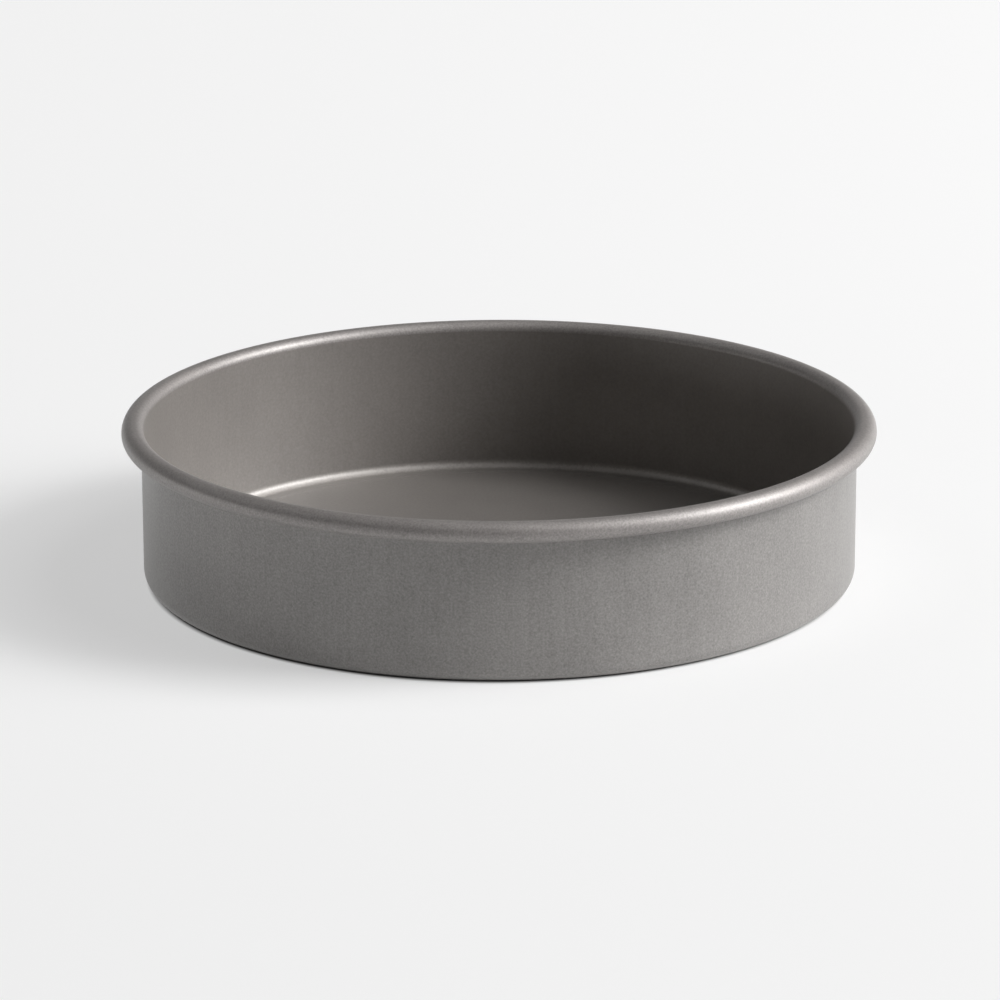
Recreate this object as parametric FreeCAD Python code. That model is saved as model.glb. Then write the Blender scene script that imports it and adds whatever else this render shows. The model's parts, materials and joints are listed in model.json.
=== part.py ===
import FreeCAD, Part
import math
import os

# Round cake tin. One sheet of coated steel is drawn into a straight-sided pan,
# and its edge is rolled outwards over a steel wire that stiffens the rim.
# The origin is the centre of the base, on the table, and +Z points out of the mouth.
# All lengths are in millimetres and all angles in degrees.

# Pan body
cavity_diameter = 228.6
overall_height = 52.5
sheet_thickness = 0.9
base_corner_radius = 3.8

# Floor panel, pressed a little lower than the narrow ring round it, so that the tin stands on the panel
floor_ring_width = 2.1
floor_step_run = 2.0
floor_step_height = 0.25

# Rolled rim: from the wall over a shoulder and a level land, then round a curl with a flat hem underneath
shoulder_radius = 3.0
rim_land_width = 0.5
crown_radius = 3.7
underside_radius = 2.5
hem_wall_gap = 0.4

# Wire inside the rim
wire_clearance = 0.05
wire_end_gap = 1.0

# Two ends of the outline nearer than this are one point
meeting_tolerance = 1e-6

# Directions in the profile plane, counted from outwards towards up
OUTWARDS = 0.0
UP = 90.0
INWARDS = 180.0
DOWN = 270.0
FULL_TURN = 360.0

# Radii and heights that follow from the sizes above
cavity_radius = cavity_diameter / 2
wall_outer_radius = cavity_radius + sheet_thickness
base_inner_radius = base_corner_radius - sheet_thickness
base_corner_ring_radius = cavity_radius - base_inner_radius
floor_ring_radius = base_corner_ring_radius - floor_ring_width
floor_panel_radius = floor_ring_radius - floor_step_run
floor_ring_height = sheet_thickness + floor_step_height
shoulder_ring_radius = cavity_radius + shoulder_radius
crown_ring_radius = shoulder_ring_radius + rim_land_width
rim_radius = crown_ring_radius + crown_radius
curl_height = crown_radius + underside_radius
hem_height = overall_height - curl_height
hem_edge_radius = wall_outer_radius + hem_wall_gap
wire_radius = curl_height / 2 - sheet_thickness - wire_clearance
wire_ring_height = overall_height - curl_height / 2

AXIS_POINT = FreeCAD.Vector(0, 0, 0)
AXIS = FreeCAD.Vector(0, 0, 1)


def profile_point(radius, height):
    """A point of the half section, which lies in the XZ plane."""
    return FreeCAD.Vector(radius, 0, height)


def circle_point(centre, radius, direction):
    turn = math.radians(direction)
    return centre + profile_point(radius * math.cos(turn), radius * math.sin(turn))


class Bend:
    """A bend of the sheet about a centre, with a radius for each side of the sheet."""

    def __init__(self, centre, upper_radius, lower_radius, start, end):
        self.centre = centre
        self.radii = {"upper": upper_radius, "lower": lower_radius}
        self.start = start
        self.end = end

    def point(self, side, direction):
        return circle_point(self.centre, self.radii[side], direction)

    def arc(self, side):
        middle = (self.start + self.end) / 2
        stations = (self.start, middle, self.end)
        return Part.Arc(*[self.point(side, station) for station in stations]).toShape()


def floor_step_bends():
    """The two equal bends that lead from the floor panel up to the ring round it."""
    slope = 2 * math.atan2(floor_step_height, floor_step_run)
    radii_sum = floor_step_run / math.sin(slope)
    tight_radius = (radii_sum - sheet_thickness) / 2
    wide_radius = tight_radius + sheet_thickness
    slope_degrees = math.degrees(slope)
    valley_centre = profile_point(floor_panel_radius, sheet_thickness + tight_radius)
    crest_centre = profile_point(floor_ring_radius, floor_ring_height - wide_radius)
    valley = Bend(valley_centre, tight_radius, wide_radius, DOWN, DOWN + slope_degrees)
    crest = Bend(crest_centre, wide_radius, tight_radius, UP + slope_degrees, UP)
    return [valley, crest]


def base_corner_bend():
    centre = profile_point(base_corner_ring_radius, floor_step_height + base_corner_radius)
    return Bend(centre, base_inner_radius, base_corner_radius, DOWN, OUTWARDS + FULL_TURN)


def rim_bends():
    """The shoulder that leaves the wall, and the two bends of the curl that closes round the wire."""
    shoulder_centre = profile_point(shoulder_ring_radius, overall_height - shoulder_radius)
    shoulder_hidden_radius = shoulder_radius - sheet_thickness
    shoulder = Bend(shoulder_centre, shoulder_radius, shoulder_hidden_radius, INWARDS, UP)
    widest_height = overall_height - crown_radius
    crown_centre = profile_point(crown_ring_radius, widest_height)
    crown = Bend(crown_centre, crown_radius, crown_radius - sheet_thickness, UP, OUTWARDS)
    underside_centre = profile_point(rim_radius - underside_radius, widest_height)
    underside_hidden_radius = underside_radius - sheet_thickness
    underside = Bend(underside_centre, underside_radius, underside_hidden_radius, OUTWARDS, DOWN - FULL_TURN)
    return [shoulder, crown, underside]


def join_points(edges, start, end):
    """Add the straight run between two bends, where they don't already meet."""
    if not start.isEqual(end, meeting_tolerance):
        edges.append(Part.LineSegment(start, end).toShape())


def sheet_side(bends, side, start, end):
    """The edges of one side of the sheet, from the axis to the cut edge of the hem."""
    edges = []
    reached = start
    for bend in bends:
        join_points(edges, reached, bend.point(side, bend.start))
        edges.append(bend.arc(side))
        reached = bend.point(side, bend.end)
    join_points(edges, reached, end)
    return edges


def make_pan_shell():
    bends = floor_step_bends() + [base_corner_bend()] + rim_bends()
    upper_start = profile_point(0, sheet_thickness)
    lower_start = profile_point(0, 0)
    upper_end = profile_point(hem_edge_radius, hem_height)
    lower_end = profile_point(hem_edge_radius, hem_height + sheet_thickness)
    upper_edges = sheet_side(bends, "upper", upper_start, upper_end)
    lower_edges = sheet_side(bends, "lower", lower_start, lower_end)
    cut_edge = Part.LineSegment(upper_end, lower_end).toShape()
    axis_edge = Part.LineSegment(lower_start, upper_start).toShape()
    outline = Part.Wire(upper_edges + [cut_edge] + lower_edges[::-1] + [axis_edge])
    return Part.Face(outline).revolve(AXIS_POINT, AXIS, FULL_TURN)


def make_rim_wire():
    """A ring of round wire whose two cut ends stop short of each other."""
    gap_angle = 2 * math.degrees(math.asin(wire_end_gap / 2 / crown_ring_radius))
    section_centre = profile_point(crown_ring_radius, wire_ring_height)
    section_normal = FreeCAD.Vector(0, 1, 0)
    section = Part.Face(Part.Wire(Part.makeCircle(wire_radius, section_centre, section_normal)))
    ring = section.revolve(AXIS_POINT, AXIS, FULL_TURN - gap_angle)
    ring.rotate(AXIS_POINT, AXIS, UP + gap_angle / 2)
    return ring


parts = {
    "pan_shell": make_pan_shell(),
    "rim_wire": make_rim_wire(),
}

os.makedirs("parts", exist_ok=True)
for name, shape in parts.items():
    shape.exportStep(os.path.join("parts", name + ".step"))
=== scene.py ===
import json
import math
from typing import NamedTuple

import bpy
import numpy as np
from mathutils import Matrix, Vector


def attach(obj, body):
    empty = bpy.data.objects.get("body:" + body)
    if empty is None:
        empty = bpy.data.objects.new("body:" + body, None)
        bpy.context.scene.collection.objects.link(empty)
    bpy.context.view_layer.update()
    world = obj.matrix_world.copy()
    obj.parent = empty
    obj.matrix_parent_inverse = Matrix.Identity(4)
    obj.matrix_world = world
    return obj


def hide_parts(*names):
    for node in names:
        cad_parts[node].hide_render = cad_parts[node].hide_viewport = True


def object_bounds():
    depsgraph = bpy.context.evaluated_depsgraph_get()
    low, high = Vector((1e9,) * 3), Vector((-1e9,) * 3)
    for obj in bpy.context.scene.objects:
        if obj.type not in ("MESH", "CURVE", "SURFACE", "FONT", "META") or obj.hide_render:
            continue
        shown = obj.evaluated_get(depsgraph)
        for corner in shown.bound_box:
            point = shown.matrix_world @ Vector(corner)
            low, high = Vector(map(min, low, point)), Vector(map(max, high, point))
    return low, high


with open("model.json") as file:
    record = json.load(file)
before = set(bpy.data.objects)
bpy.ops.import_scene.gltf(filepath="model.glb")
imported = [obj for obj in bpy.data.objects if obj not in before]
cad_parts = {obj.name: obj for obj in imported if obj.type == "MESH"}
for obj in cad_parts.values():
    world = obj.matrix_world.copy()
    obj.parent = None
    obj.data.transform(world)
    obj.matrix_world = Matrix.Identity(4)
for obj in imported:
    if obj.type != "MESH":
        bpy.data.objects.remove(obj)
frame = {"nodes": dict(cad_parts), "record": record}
cad_low, cad_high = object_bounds()

# A round cake tin in a white studio: a fine skin for the coated sheet, and a finish for the wire in its rim

# Lengths are in metres and angles in degrees, unless a name says otherwise
MM = 0.001
ROOT = "root"

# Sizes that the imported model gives
mounts = {mount["name"]: mount for mount in frame["record"]["mounts"]}
cavity = mounts["cavity"]
cavity_radius = cavity["dims"]["r_mm"] * MM
wall_half_length = cavity["dims"]["length_mm"] * MM / 2
wall_low = cavity["pos_m"][2] - wall_half_length
wall_high = cavity["pos_m"][2] + wall_half_length
rim_radius = cad_high.x
rim_height = cad_high.z

# Sizes of the sheet, of its floor step and of its rolled rim
SHEET = 0.9 * MM
FLOOR_RING_WIDTH = 2.1 * MM
FLOOR_STEP_RUN = 2.0 * MM
FLOOR_STEP_HEIGHT = 0.25 * MM
RIM_LAND_WIDTH = 0.5 * MM
UNDERSIDE_RADIUS = 2.5 * MM
HEM_WALL_GAP = 0.4 * MM

base_corner_radius = wall_low - FLOOR_STEP_HEIGHT
base_inner_radius = base_corner_radius - SHEET
base_corner_ring_radius = cavity_radius - base_inner_radius
floor_ring_radius = base_corner_ring_radius - FLOOR_RING_WIDTH
floor_panel_radius = floor_ring_radius - FLOOR_STEP_RUN
floor_ring_height = SHEET + FLOOR_STEP_HEIGHT
shoulder_radius = rim_height - wall_high
shoulder_ring_radius = cavity_radius + shoulder_radius
crown_ring_radius = shoulder_ring_radius + RIM_LAND_WIDTH
crown_radius = rim_radius - crown_ring_radius
widest_height = rim_height - crown_radius
hem_height = widest_height - UNDERSIDE_RADIUS
hem_edge_radius = cavity_radius + SHEET + HEM_WALL_GAP

# Directions in the half section, counted from outwards towards up
OUTWARDS = 0.0
UP = 90.0
INWARDS = 180.0
DOWN = 270.0
FULL_TURN = 360.0

# Fineness of the turned mesh
AROUND = 512
ARC_STEP = 6.0
ARC_POINTS = 5
RUN_STEP = 18.0 * MM
RUN_END_STEP = 0.25 * MM
SHORTEST_DIVIDED_RUN = 4 * RUN_END_STEP
MEETING_TOLERANCE = RUN_END_STEP / 10

# Camera, from a fit to the outline in the photograph
PHOTO_WIDTH_PX = 1000
FOCAL_PX = 5359.6
SENSOR_MM = 36.0
CAMERA_DISTANCE = 1.7341
CAMERA_ELEVATION = 16.7877
CAMERA_PITCH = 0.0802
CAMERA_YAW = 0.0086
CAMERA_ROLL = -0.1547

# The nearest and the farthest that the camera shows
CAMERA_CLIP_START = 0.05
CAMERA_CLIP_END = 50.0


class Coating(NamedTuple):
    """One look of the coating. Its sheen is strongest where both of its edge ranges reach their second value.

    The inside has a painted highlight along the base corner and the rim painted light over its top; the
    outside is lighter and glossier at the foot of that corner.
    """

    dark: tuple
    light: tuple
    sheen: tuple
    metallic: float
    roughness: tuple
    coat: float
    coat_roughness: float
    grain: float
    relief: float
    speckle_share: float
    cloud_share: float
    streak_share: float
    sheen_share: float
    edge_height: tuple
    edge_radius: tuple


# The coating's looks, in the order of the skin's material slots
INSIDE, OUTSIDE, RIM = range(3)
COATINGS = {
    "coating_inside": Coating(
        dark=(0.175, 0.161, 0.151),
        light=(0.292, 0.270, 0.252),
        sheen=(0.390, 0.365, 0.345),
        metallic=0.3,
        roughness=(0.60, 0.54),
        coat=0.9,
        coat_roughness=0.42,
        grain=0.85 * MM,
        relief=0.02 * MM,
        speckle_share=0.55,
        cloud_share=0.35,
        streak_share=0.1,
        sheen_share=0.95,
        edge_height=(wall_low - 0.15 * MM, wall_low - 1.65 * MM),
        edge_radius=(base_corner_ring_radius - 0.2 * MM, base_corner_ring_radius + 1.4 * MM),
    ),
    "coating_outside": Coating(
        dark=(0.124, 0.118, 0.114),
        light=(0.362, 0.346, 0.332),
        sheen=(0.430, 0.413, 0.398),
        metallic=0.3,
        roughness=(0.66, 0.50),
        coat=0.8,
        coat_roughness=0.4,
        grain=0.65 * MM,
        relief=0.05 * MM,
        speckle_share=0.65,
        cloud_share=0.25,
        streak_share=0.1,
        sheen_share=0.2,
        edge_height=(2.0 * MM, 0.4 * MM),
        edge_radius=(base_corner_ring_radius - 2.4 * MM, base_corner_ring_radius + 0.6 * MM),
    ),
    # The rim has the outside's grain, with lighter colours that are painted light falling on the rim from
    # above
    "coating_rim": Coating(
        dark=(0.151, 0.141, 0.136),
        light=(0.416, 0.388, 0.374),
        sheen=(0.482, 0.453, 0.437),
        metallic=0.45,
        roughness=(0.62, 0.48),
        coat=0.58,
        coat_roughness=0.38,
        grain=0.65 * MM,
        relief=0.05 * MM,
        speckle_share=0.65,
        cloud_share=0.25,
        streak_share=0.1,
        sheen_share=0.2,
        edge_height=(rim_height - 4.0 * MM, rim_height - 1.5 * MM),
        edge_radius=(0.0, cavity_radius),
    ),
}

# Patterns that all looks of the coating share, and the tones at which its colours and its roughness change
CLOUD_SIZE = 35 * MM
STREAK_SIZE = 1.6 * MM
STREAK_SCALE = (1, 1, 0.03)
# Patches of the coating's sheen at its edge: painted highlight inside, painted light on the rim's top
SHEEN_PATCH_SIZE = 4 * MM
SHEEN_STRENGTHS = (0.35, 0.65)
DARK_TONE = 0.2
LIGHT_TONE = 0.8
SHEEN_TONE = 1.0
ROUGHNESS_TONES = (0.3, 1.0)
SPECKLE_RELIEF = 0.85
STREAK_RELIEF = 0.15

# Drawn wire
WIRE_DARK = (0.44, 0.44, 0.45)
WIRE_LIGHT = (0.60, 0.60, 0.61)
WIRE_TONES = (0.3, 0.7)
WIRE_ROUGHNESS = (0.45, 0.28)
WIRE_MARK_SIZE = 0.25 * MM
WIRE_MARK_SCALE = (0.2, 0.2, 1)
WIRE_MARK_SHARE = 0.6
WIRE_STAIN_SIZE = 6 * MM
WIRE_STAIN_SHARE = 0.4
WIRE_RELIEF = 0.01 * MM

# The floor: its colour, and the colour and glow that eye and mirror rays see instead
FLOOR_HALF_WIDTH = 3.0
FLOOR_COLOUR = (0.88, 0.88, 0.88, 1)
FLOOR_SEEN_COLOUR = (0.42, 0.42, 0.42, 1)
# The glow at the front and at the back of FLOOR_DEPTH, brighter behind: painted light
FLOOR_GLOW = (0.495, 0.565)
FLOOR_DEPTH = (-0.3, 0.9)

# The circle round the tin's foot where the glow stops, a painted contact shadow, with its centre a little to
# the left and front
FLOOR_CONTACT = (base_corner_ring_radius + 0.4 * MM, base_corner_ring_radius + 2.6 * MM)
FLOOR_CONTACT_CENTRE = (-0.6 * MM, -0.6 * MM, 0)

# The white of the floor's glow and of the room, and how bright the eye sees the room
WHITE = (1, 1, 1, 1)
ROOM_SEEN_LEVEL = 0.9


class Lamp(NamedTuple):
    """A flat lamp that faces the tin: its direction, its width and height as angles, and its radiance."""

    azimuth: float
    elevation: float
    width: float
    height: float
    radiance: float


LAMP_DISTANCE = 4.0
LAMPS = {
    "key": Lamp(-6, 33, 26, 24, 14.6),
    "key_centre": Lamp(-6, 36, 16, 16, 6.6),
    "key_top": Lamp(-3, 55, 40, 24, 2.5),
    "key_bottom": Lamp(-5, 18, 40, 12, 4.6),
    "overhead": Lamp(0, 85, 40, 40, 0.2),
    "back_left": Lamp(130, 40, 40, 36, 0.22),
    "left_high": Lamp(178, 47, 46, 22, 0.7),
    "left_card": Lamp(190, 3, 90, 7, 2.6),
    "right_card": Lamp(0, 3, 90, 7, 0.6),
    "back_card": Lamp(90, 7, 90, 14, 0.55),
}


class Bend(NamedTuple):
    """A bend of the sheet, with a radius for each side, and the two directions that it runs between."""

    centre: tuple
    upper_radius: float
    lower_radius: float
    start: float
    end: float


def sheet_bends():
    """The bends from the floor panel outwards: floor step, base corner, shoulder, crown and underside."""
    slope = 2 * math.atan2(FLOOR_STEP_HEIGHT, FLOOR_STEP_RUN)
    tight = (FLOOR_STEP_RUN / math.sin(slope) - SHEET) / 2
    wide = tight + SHEET
    tilt = math.degrees(slope)
    valley_centre = (floor_panel_radius, SHEET + tight)
    crest_centre = (floor_ring_radius, floor_ring_height - wide)
    corner_centre = (base_corner_ring_radius, wall_low)
    shoulder_centre = (shoulder_ring_radius, wall_high)
    crown_centre = (crown_ring_radius, widest_height)
    underside_centre = (rim_radius - UNDERSIDE_RADIUS, widest_height)
    return [
        Bend(valley_centre, tight, wide, DOWN, DOWN + tilt),
        Bend(crest_centre, wide, tight, UP + tilt, UP),
        Bend(corner_centre, base_inner_radius, base_corner_radius, DOWN, OUTWARDS + FULL_TURN),
        Bend(shoulder_centre, shoulder_radius, shoulder_radius - SHEET, INWARDS, UP),
        Bend(crown_centre, crown_radius, crown_radius - SHEET, UP, OUTWARDS),
        Bend(underside_centre, UNDERSIDE_RADIUS, UNDERSIDE_RADIUS - SHEET, OUTWARDS, DOWN - FULL_TURN),
    ]


def arc_points(centre, radius, start, end):
    """Points of an arc in the half section, from one direction to another."""
    count = max(ARC_POINTS, round(abs(end - start) / ARC_STEP) + 1)
    turns = np.radians(np.linspace(start, end, count))
    return [(centre[0] + radius * math.cos(turn), centre[1] + radius * math.sin(turn)) for turn in turns]


def run_points(start, end):
    """Points inside a straight run, with one close to each of its two ends."""
    start = np.array(start)
    end = np.array(end)
    length = np.linalg.norm(end - start)
    if length < SHORTEST_DIVIDED_RUN:
        return []
    spans = max(1, round(length / RUN_STEP))
    stations = np.linspace(RUN_END_STEP, length - RUN_END_STEP, spans + 1) / length
    return [tuple(start + (end - start) * station) for station in stations]


def sheet_side(side, axis_height, edge_height):
    """The profile of one side of the sheet, from the axis to the cut edge of the hem."""
    points = [(0.0, axis_height)]
    for bend in sheet_bends():
        radius = bend.upper_radius if side == "upper" else bend.lower_radius
        arc = arc_points(bend.centre, radius, bend.start, bend.end)
        points += run_points(points[-1], arc[0])
        if math.dist(points[-1], arc[0]) < MEETING_TOLERANCE:
            arc = arc[1:]
        points += arc
    edge = (hem_edge_radius, edge_height)
    return points + run_points(points[-1], edge) + [edge]


def turned_mesh(name, upper, lower):
    """A closed surface turned about the Z axis, from its upper side over the cut edge to its lower side.

    Both sides start on the axis. The upper side is the inside up to the shoulder, and the rim from there on.
    """
    turns = np.linspace(0, 2 * math.pi, AROUND, endpoint=False)
    circle = list(zip(np.cos(turns), np.sin(turns)))
    centres = [(0.0, 0.0, upper[0][1]), (0.0, 0.0, lower[0][1])]
    vertices = list(centres)
    for radius, height in upper[1:] + lower[:0:-1]:
        vertices += [(radius * x, radius * y, height) for x, y in circle]
    first = len(centres)
    last = len(vertices) - AROUND
    shoulder = next(i for i, (_, height) in enumerate(upper) if math.isclose(height, wall_high))
    row_materials = [INSIDE] * (shoulder - 1)
    row_materials += [RIM] * (len(upper) - 1 - shoulder)
    row_materials += [OUTSIDE] * (len(lower) - 1)
    faces = []
    materials = []
    for here in range(AROUND):
        there = (here + 1) % AROUND
        faces.append((0, first + here, first + there))
        materials.append(INSIDE)
        for row, material in enumerate(row_materials):
            near = first + row * AROUND
            far = near + AROUND
            faces.append((near + here, far + here, far + there, near + there))
            materials.append(material)
        faces.append((1, last + there, last + here))
        materials.append(OUTSIDE)
    mesh = bpy.data.meshes.new(name)
    mesh.from_pydata(vertices, [], faces)
    mesh.polygons.foreach_set("material_index", materials)
    mesh.validate()
    mesh.shade_smooth()
    return mesh


def link(name, data):
    """A new object in the scene."""
    item = bpy.data.objects.new(name, data)
    bpy.context.scene.collection.objects.link(item)
    return item


class Nodes:
    """Short ways to add nodes to a new material."""

    def __init__(self, name):
        self.material = bpy.data.materials.new(name)
        self.material.use_nodes = True
        self.tree = self.material.node_tree
        self.shader = self.tree.nodes["Principled BSDF"]
        self.place = self.tree.nodes.new("ShaderNodeTexCoord").outputs["Object"]

    def feed(self, socket, value):
        """Link an input to another node's output, or set it to a value."""
        if isinstance(value, bpy.types.NodeSocket):
            self.tree.links.new(value, socket)
        else:
            socket.default_value = value

    def add(self, kind, inputs, operation=None):
        """The outputs of a new node with these inputs."""
        node = self.tree.nodes.new(kind)
        if operation:
            node.operation = operation
        for key, value in inputs.items():
            self.feed(node.inputs[key], value)
        return node.outputs

    def shade(self, **inputs):
        """Feed the shader's inputs."""
        for key, value in inputs.items():
            self.feed(self.shader.inputs[key.replace("_", " ")], value)

    def calculate(self, operation, *values):
        """The result of an operation on numbers."""
        return self.add("ShaderNodeMath", dict(enumerate(values)), operation)["Value"]

    def measure(self, operation, *vectors):
        """The number that an operation on vectors gives."""
        return self.add("ShaderNodeVectorMath", dict(enumerate(vectors)), operation)["Value"]

    def along(self, axis):
        return self.add("ShaderNodeSeparateXYZ", {"Vector": self.place})[axis]

    def scaled(self, scale):
        return self.add("ShaderNodeMapping", {"Vector": self.place, "Scale": scale})["Vector"]

    def noise(self, size, detail, roughness, place=None):
        """Noise whose blobs are about this long."""
        place = place or self.place
        inputs = {"Vector": place, "Scale": 1 / size, "Detail": detail, "Roughness": roughness}
        return self.add("ShaderNodeTexNoise", inputs)["Fac"]

    def total(self, *parts):
        """The sum of (share, output) pairs."""
        share, output = parts[0]
        result = self.calculate("MULTIPLY", output, share)
        for share, output in parts[1:]:
            result = self.calculate("MULTIPLY_ADD", output, share, result)
        return result

    def spread(self, value, low, high, to_low, to_high):
        """The value, moved from one range to another and kept inside it."""
        inputs = {"Value": value, "From Min": low, "From Max": high, "To Min": to_low, "To Max": to_high}
        return self.add("ShaderNodeMapRange", inputs)["Result"]

    def ramp(self, value, *stops):
        """A colour for each value, between the given stops."""
        node = self.tree.nodes.new("ShaderNodeValToRGB")
        self.feed(node.inputs["Fac"], value)
        elements = node.color_ramp.elements
        for element, (position, colour) in zip(elements, (stops[0], stops[-1])):
            element.position = position
            element.color = (*colour, 1)
        for position, colour in stops[1:-1]:
            elements.new(position).color = (*colour, 1)
        return node.outputs["Color"]

    def bump(self, height, distance):
        inputs = {"Height": height, "Strength": 1.0, "Distance": distance}
        return self.add("ShaderNodeBump", inputs)["Normal"]


def coating_material(name, look):
    """A metallic coating: fine speckle from its flakes, soft clouds, drawing streaks and a lighter edge,
    which is painted highlight inside and painted light on the rim.
    """
    nodes = Nodes(name)
    speckle = nodes.noise(look.grain, detail=2.0, roughness=0.6)
    clouds = nodes.noise(CLOUD_SIZE, detail=4.0, roughness=0.55)
    streaks = nodes.noise(STREAK_SIZE, detail=2.0, roughness=0.5, place=nodes.scaled(STREAK_SCALE))
    # The sheen at the edge: painted highlight along the inside's base corner, painted light over the rim's
    # top, a lighter foot outside
    near_height = nodes.spread(nodes.along("Z"), *look.edge_height, 0, 1)
    radius = nodes.measure("LENGTH", nodes.scaled((1, 1, 0)))
    near_radius = nodes.spread(radius, *look.edge_radius, 0, 1)
    edge = nodes.calculate("MULTIPLY", near_height, near_radius)
    sheen_strength = nodes.spread(nodes.noise(SHEEN_PATCH_SIZE, detail=4.0, roughness=0.7), 0, 1, *SHEEN_STRENGTHS)
    sheen_patches = nodes.calculate("MULTIPLY", edge, sheen_strength)
    tone = nodes.total(
        (look.speckle_share, speckle),
        (look.cloud_share, clouds),
        (look.streak_share, streaks),
        (look.sheen_share, sheen_patches),
    )
    relief = nodes.total((SPECKLE_RELIEF, speckle), (STREAK_RELIEF, streaks))
    nodes.shade(
        Base_Color=nodes.ramp(tone, (DARK_TONE, look.dark), (LIGHT_TONE, look.light), (SHEEN_TONE, look.sheen)),
        Metallic=look.metallic,
        Roughness=nodes.spread(tone, *ROUGHNESS_TONES, *look.roughness),
        Coat_Weight=look.coat,
        Coat_Roughness=look.coat_roughness,
        Normal=nodes.bump(relief, look.relief),
    )
    return nodes.material


def wire_material():
    """Drawn steel wire: bright, with fine marks along it."""
    nodes = Nodes("drawn_wire")
    marks = nodes.noise(WIRE_MARK_SIZE, detail=3.0, roughness=0.6, place=nodes.scaled(WIRE_MARK_SCALE))
    stains = nodes.noise(WIRE_STAIN_SIZE, detail=3.0, roughness=0.5)
    tone = nodes.total((WIRE_MARK_SHARE, marks), (WIRE_STAIN_SHARE, stains))
    dark_tone, light_tone = WIRE_TONES
    nodes.shade(
        Base_Color=nodes.ramp(tone, (dark_tone, WIRE_DARK), (light_tone, WIRE_LIGHT)),
        Metallic=1.0,
        Roughness=nodes.spread(tone, *WIRE_TONES, *WIRE_ROUGHNESS),
        Normal=nodes.bump(marks, WIRE_RELIEF),
    )
    return nodes.material


def floor_material():
    """A pale floor. Eye and mirror rays see a glow on it that grows along Y, painted light, and stops under
    the tin, a painted contact shadow.
    """
    nodes = Nodes("floor")
    nodes.tree.nodes.remove(nodes.shader)
    lit = nodes.add("ShaderNodeBsdfDiffuse", {"Color": FLOOR_COLOUR})[0]
    seen = nodes.add("ShaderNodeBsdfDiffuse", {"Color": FLOOR_SEEN_COLOUR})[0]
    radius = nodes.measure("DISTANCE", nodes.place, FLOOR_CONTACT_CENTRE)
    # Painted contact shadow: no glow round the tin's foot
    clear = nodes.spread(radius, *FLOOR_CONTACT, 0, 1)
    level = nodes.spread(nodes.along("Y"), *FLOOR_DEPTH, *FLOOR_GLOW)
    strength = nodes.calculate("MULTIPLY", clear, level)
    glow = nodes.add("ShaderNodeEmission", {"Color": WHITE, "Strength": strength})[0]
    glowing = nodes.add("ShaderNodeAddShader", {0: seen, 1: glow})[0]
    path = nodes.add("ShaderNodeLightPath", {})
    mirrored = nodes.calculate("MAXIMUM", path["Is Glossy Ray"], path["Is Transmission Ray"])
    looked_at = nodes.calculate("MAXIMUM", path["Is Camera Ray"], mirrored)
    surface = nodes.add("ShaderNodeMixShader", {0: looked_at, 1: lit, 2: glowing})[0]
    nodes.feed(nodes.tree.nodes["Material Output"].inputs["Surface"], surface)
    return nodes.material


def make_shell():
    upper = sheet_side("upper", SHEET, hem_height)
    lower = sheet_side("lower", 0.0, hem_height + SHEET)
    mesh = turned_mesh("pan_shell_skin", upper, lower)
    for name, look in COATINGS.items():
        mesh.materials.append(coating_material(name, look))
    shell = link("pan_shell_skin", mesh)
    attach(shell, ROOT)
    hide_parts("pan_shell")


def dress_wire():
    wire = frame["nodes"]["rim_wire"]
    wire.data.materials.clear()
    wire.data.materials.append(wire_material())


def make_floor():
    half = FLOOR_HALF_WIDTH
    corners = [(-half, -half, 0), (half, -half, 0), (half, half, 0), (-half, half, 0)]
    mesh = bpy.data.meshes.new("studio_floor")
    mesh.from_pydata(corners, [], [(0, 1, 2, 3)])
    mesh.materials.append(floor_material())
    floor = link("studio_floor", mesh)


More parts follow.
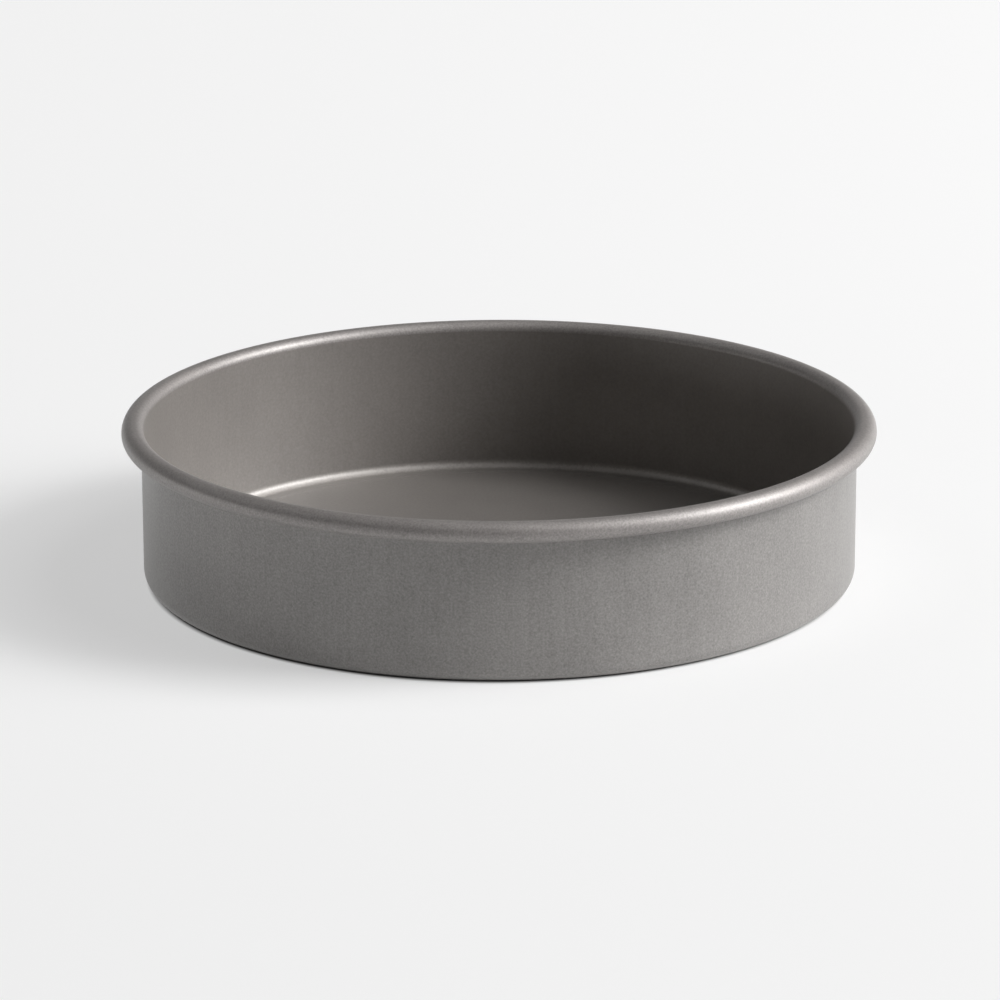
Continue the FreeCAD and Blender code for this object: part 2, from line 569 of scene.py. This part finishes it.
def make_camera():
    """The photograph's camera, aimed a little off the middle of the tin and slightly rolled."""
    data = bpy.data.cameras.new("photo_camera")
    data.sensor_width = SENSOR_MM
    data.lens = FOCAL_PX / PHOTO_WIDTH_PX * SENSOR_MM
    data.clip_start = CAMERA_CLIP_START
    data.clip_end = CAMERA_CLIP_END
    camera = link("photo_camera", data)
    rise = math.radians(CAMERA_ELEVATION)
    aim = Vector((0, 0, rim_height / 2))
    camera.location = aim + CAMERA_DISTANCE * Vector((0, -math.cos(rise), math.sin(rise)))
    yaw = math.radians(CAMERA_YAW)
    dip = math.radians(CAMERA_ELEVATION + CAMERA_PITCH)
    forward = Vector((math.sin(yaw) * math.cos(dip), math.cos(yaw) * math.cos(dip), -math.sin(dip)))
    right = forward.cross(Vector((0, 0, 1))).normalized()
    up = right.cross(forward)
    roll = math.radians(CAMERA_ROLL)
    rolled_right = math.cos(roll) * right + math.sin(roll) * up
    rolled_up = -math.sin(roll) * right + math.cos(roll) * up
    camera.rotation_mode = "QUATERNION"
    camera.rotation_quaternion = Matrix((rolled_right, rolled_up, -forward)).transposed().to_quaternion()
    bpy.context.scene.camera = camera


def make_lamp(name, lamp):
    data = bpy.data.lights.new(name, "AREA")
    data.shape = "RECTANGLE"
    data.size = 2 * LAMP_DISTANCE * math.tan(math.radians(lamp.width / 2))
    data.size_y = 2 * LAMP_DISTANCE * math.tan(math.radians(lamp.height / 2))
    data.energy = lamp.radiance * math.pi * data.size * data.size_y
    item = link(name, data)
    turn = math.radians(lamp.azimuth)
    rise = math.radians(lamp.elevation)
    away = Vector((math.cos(turn) * math.cos(rise), math.sin(turn) * math.cos(rise), math.sin(rise)))
    item.location = away * LAMP_DISTANCE
    item.rotation_mode = "QUATERNION"
    item.rotation_quaternion = away.to_track_quat("Z", "Y")
    item.visible_camera = False


def make_world():
    """A dark room that the eye sees about as pale as the floor."""
    world = bpy.data.worlds.new("studio")
    bpy.context.scene.world = world
    world.use_nodes = True
    tree = world.node_tree
    background = tree.nodes["Background"]
    background.inputs["Color"].default_value = WHITE
    path = tree.nodes.new("ShaderNodeLightPath")
    level = tree.nodes.new("ShaderNodeMapRange")
    level.inputs["To Max"].default_value = ROOM_SEEN_LEVEL
    tree.links.new(path.outputs["Is Camera Ray"], level.inputs["Value"])
    tree.links.new(level.outputs["Result"], background.inputs["Strength"])


make_shell()
dress_wire()
make_camera()
make_floor()
make_world()
for lamp_name, lamp in LAMPS.items():
    make_lamp(lamp_name, lamp)

bpy.context.scene.view_settings.view_transform = "Standard"
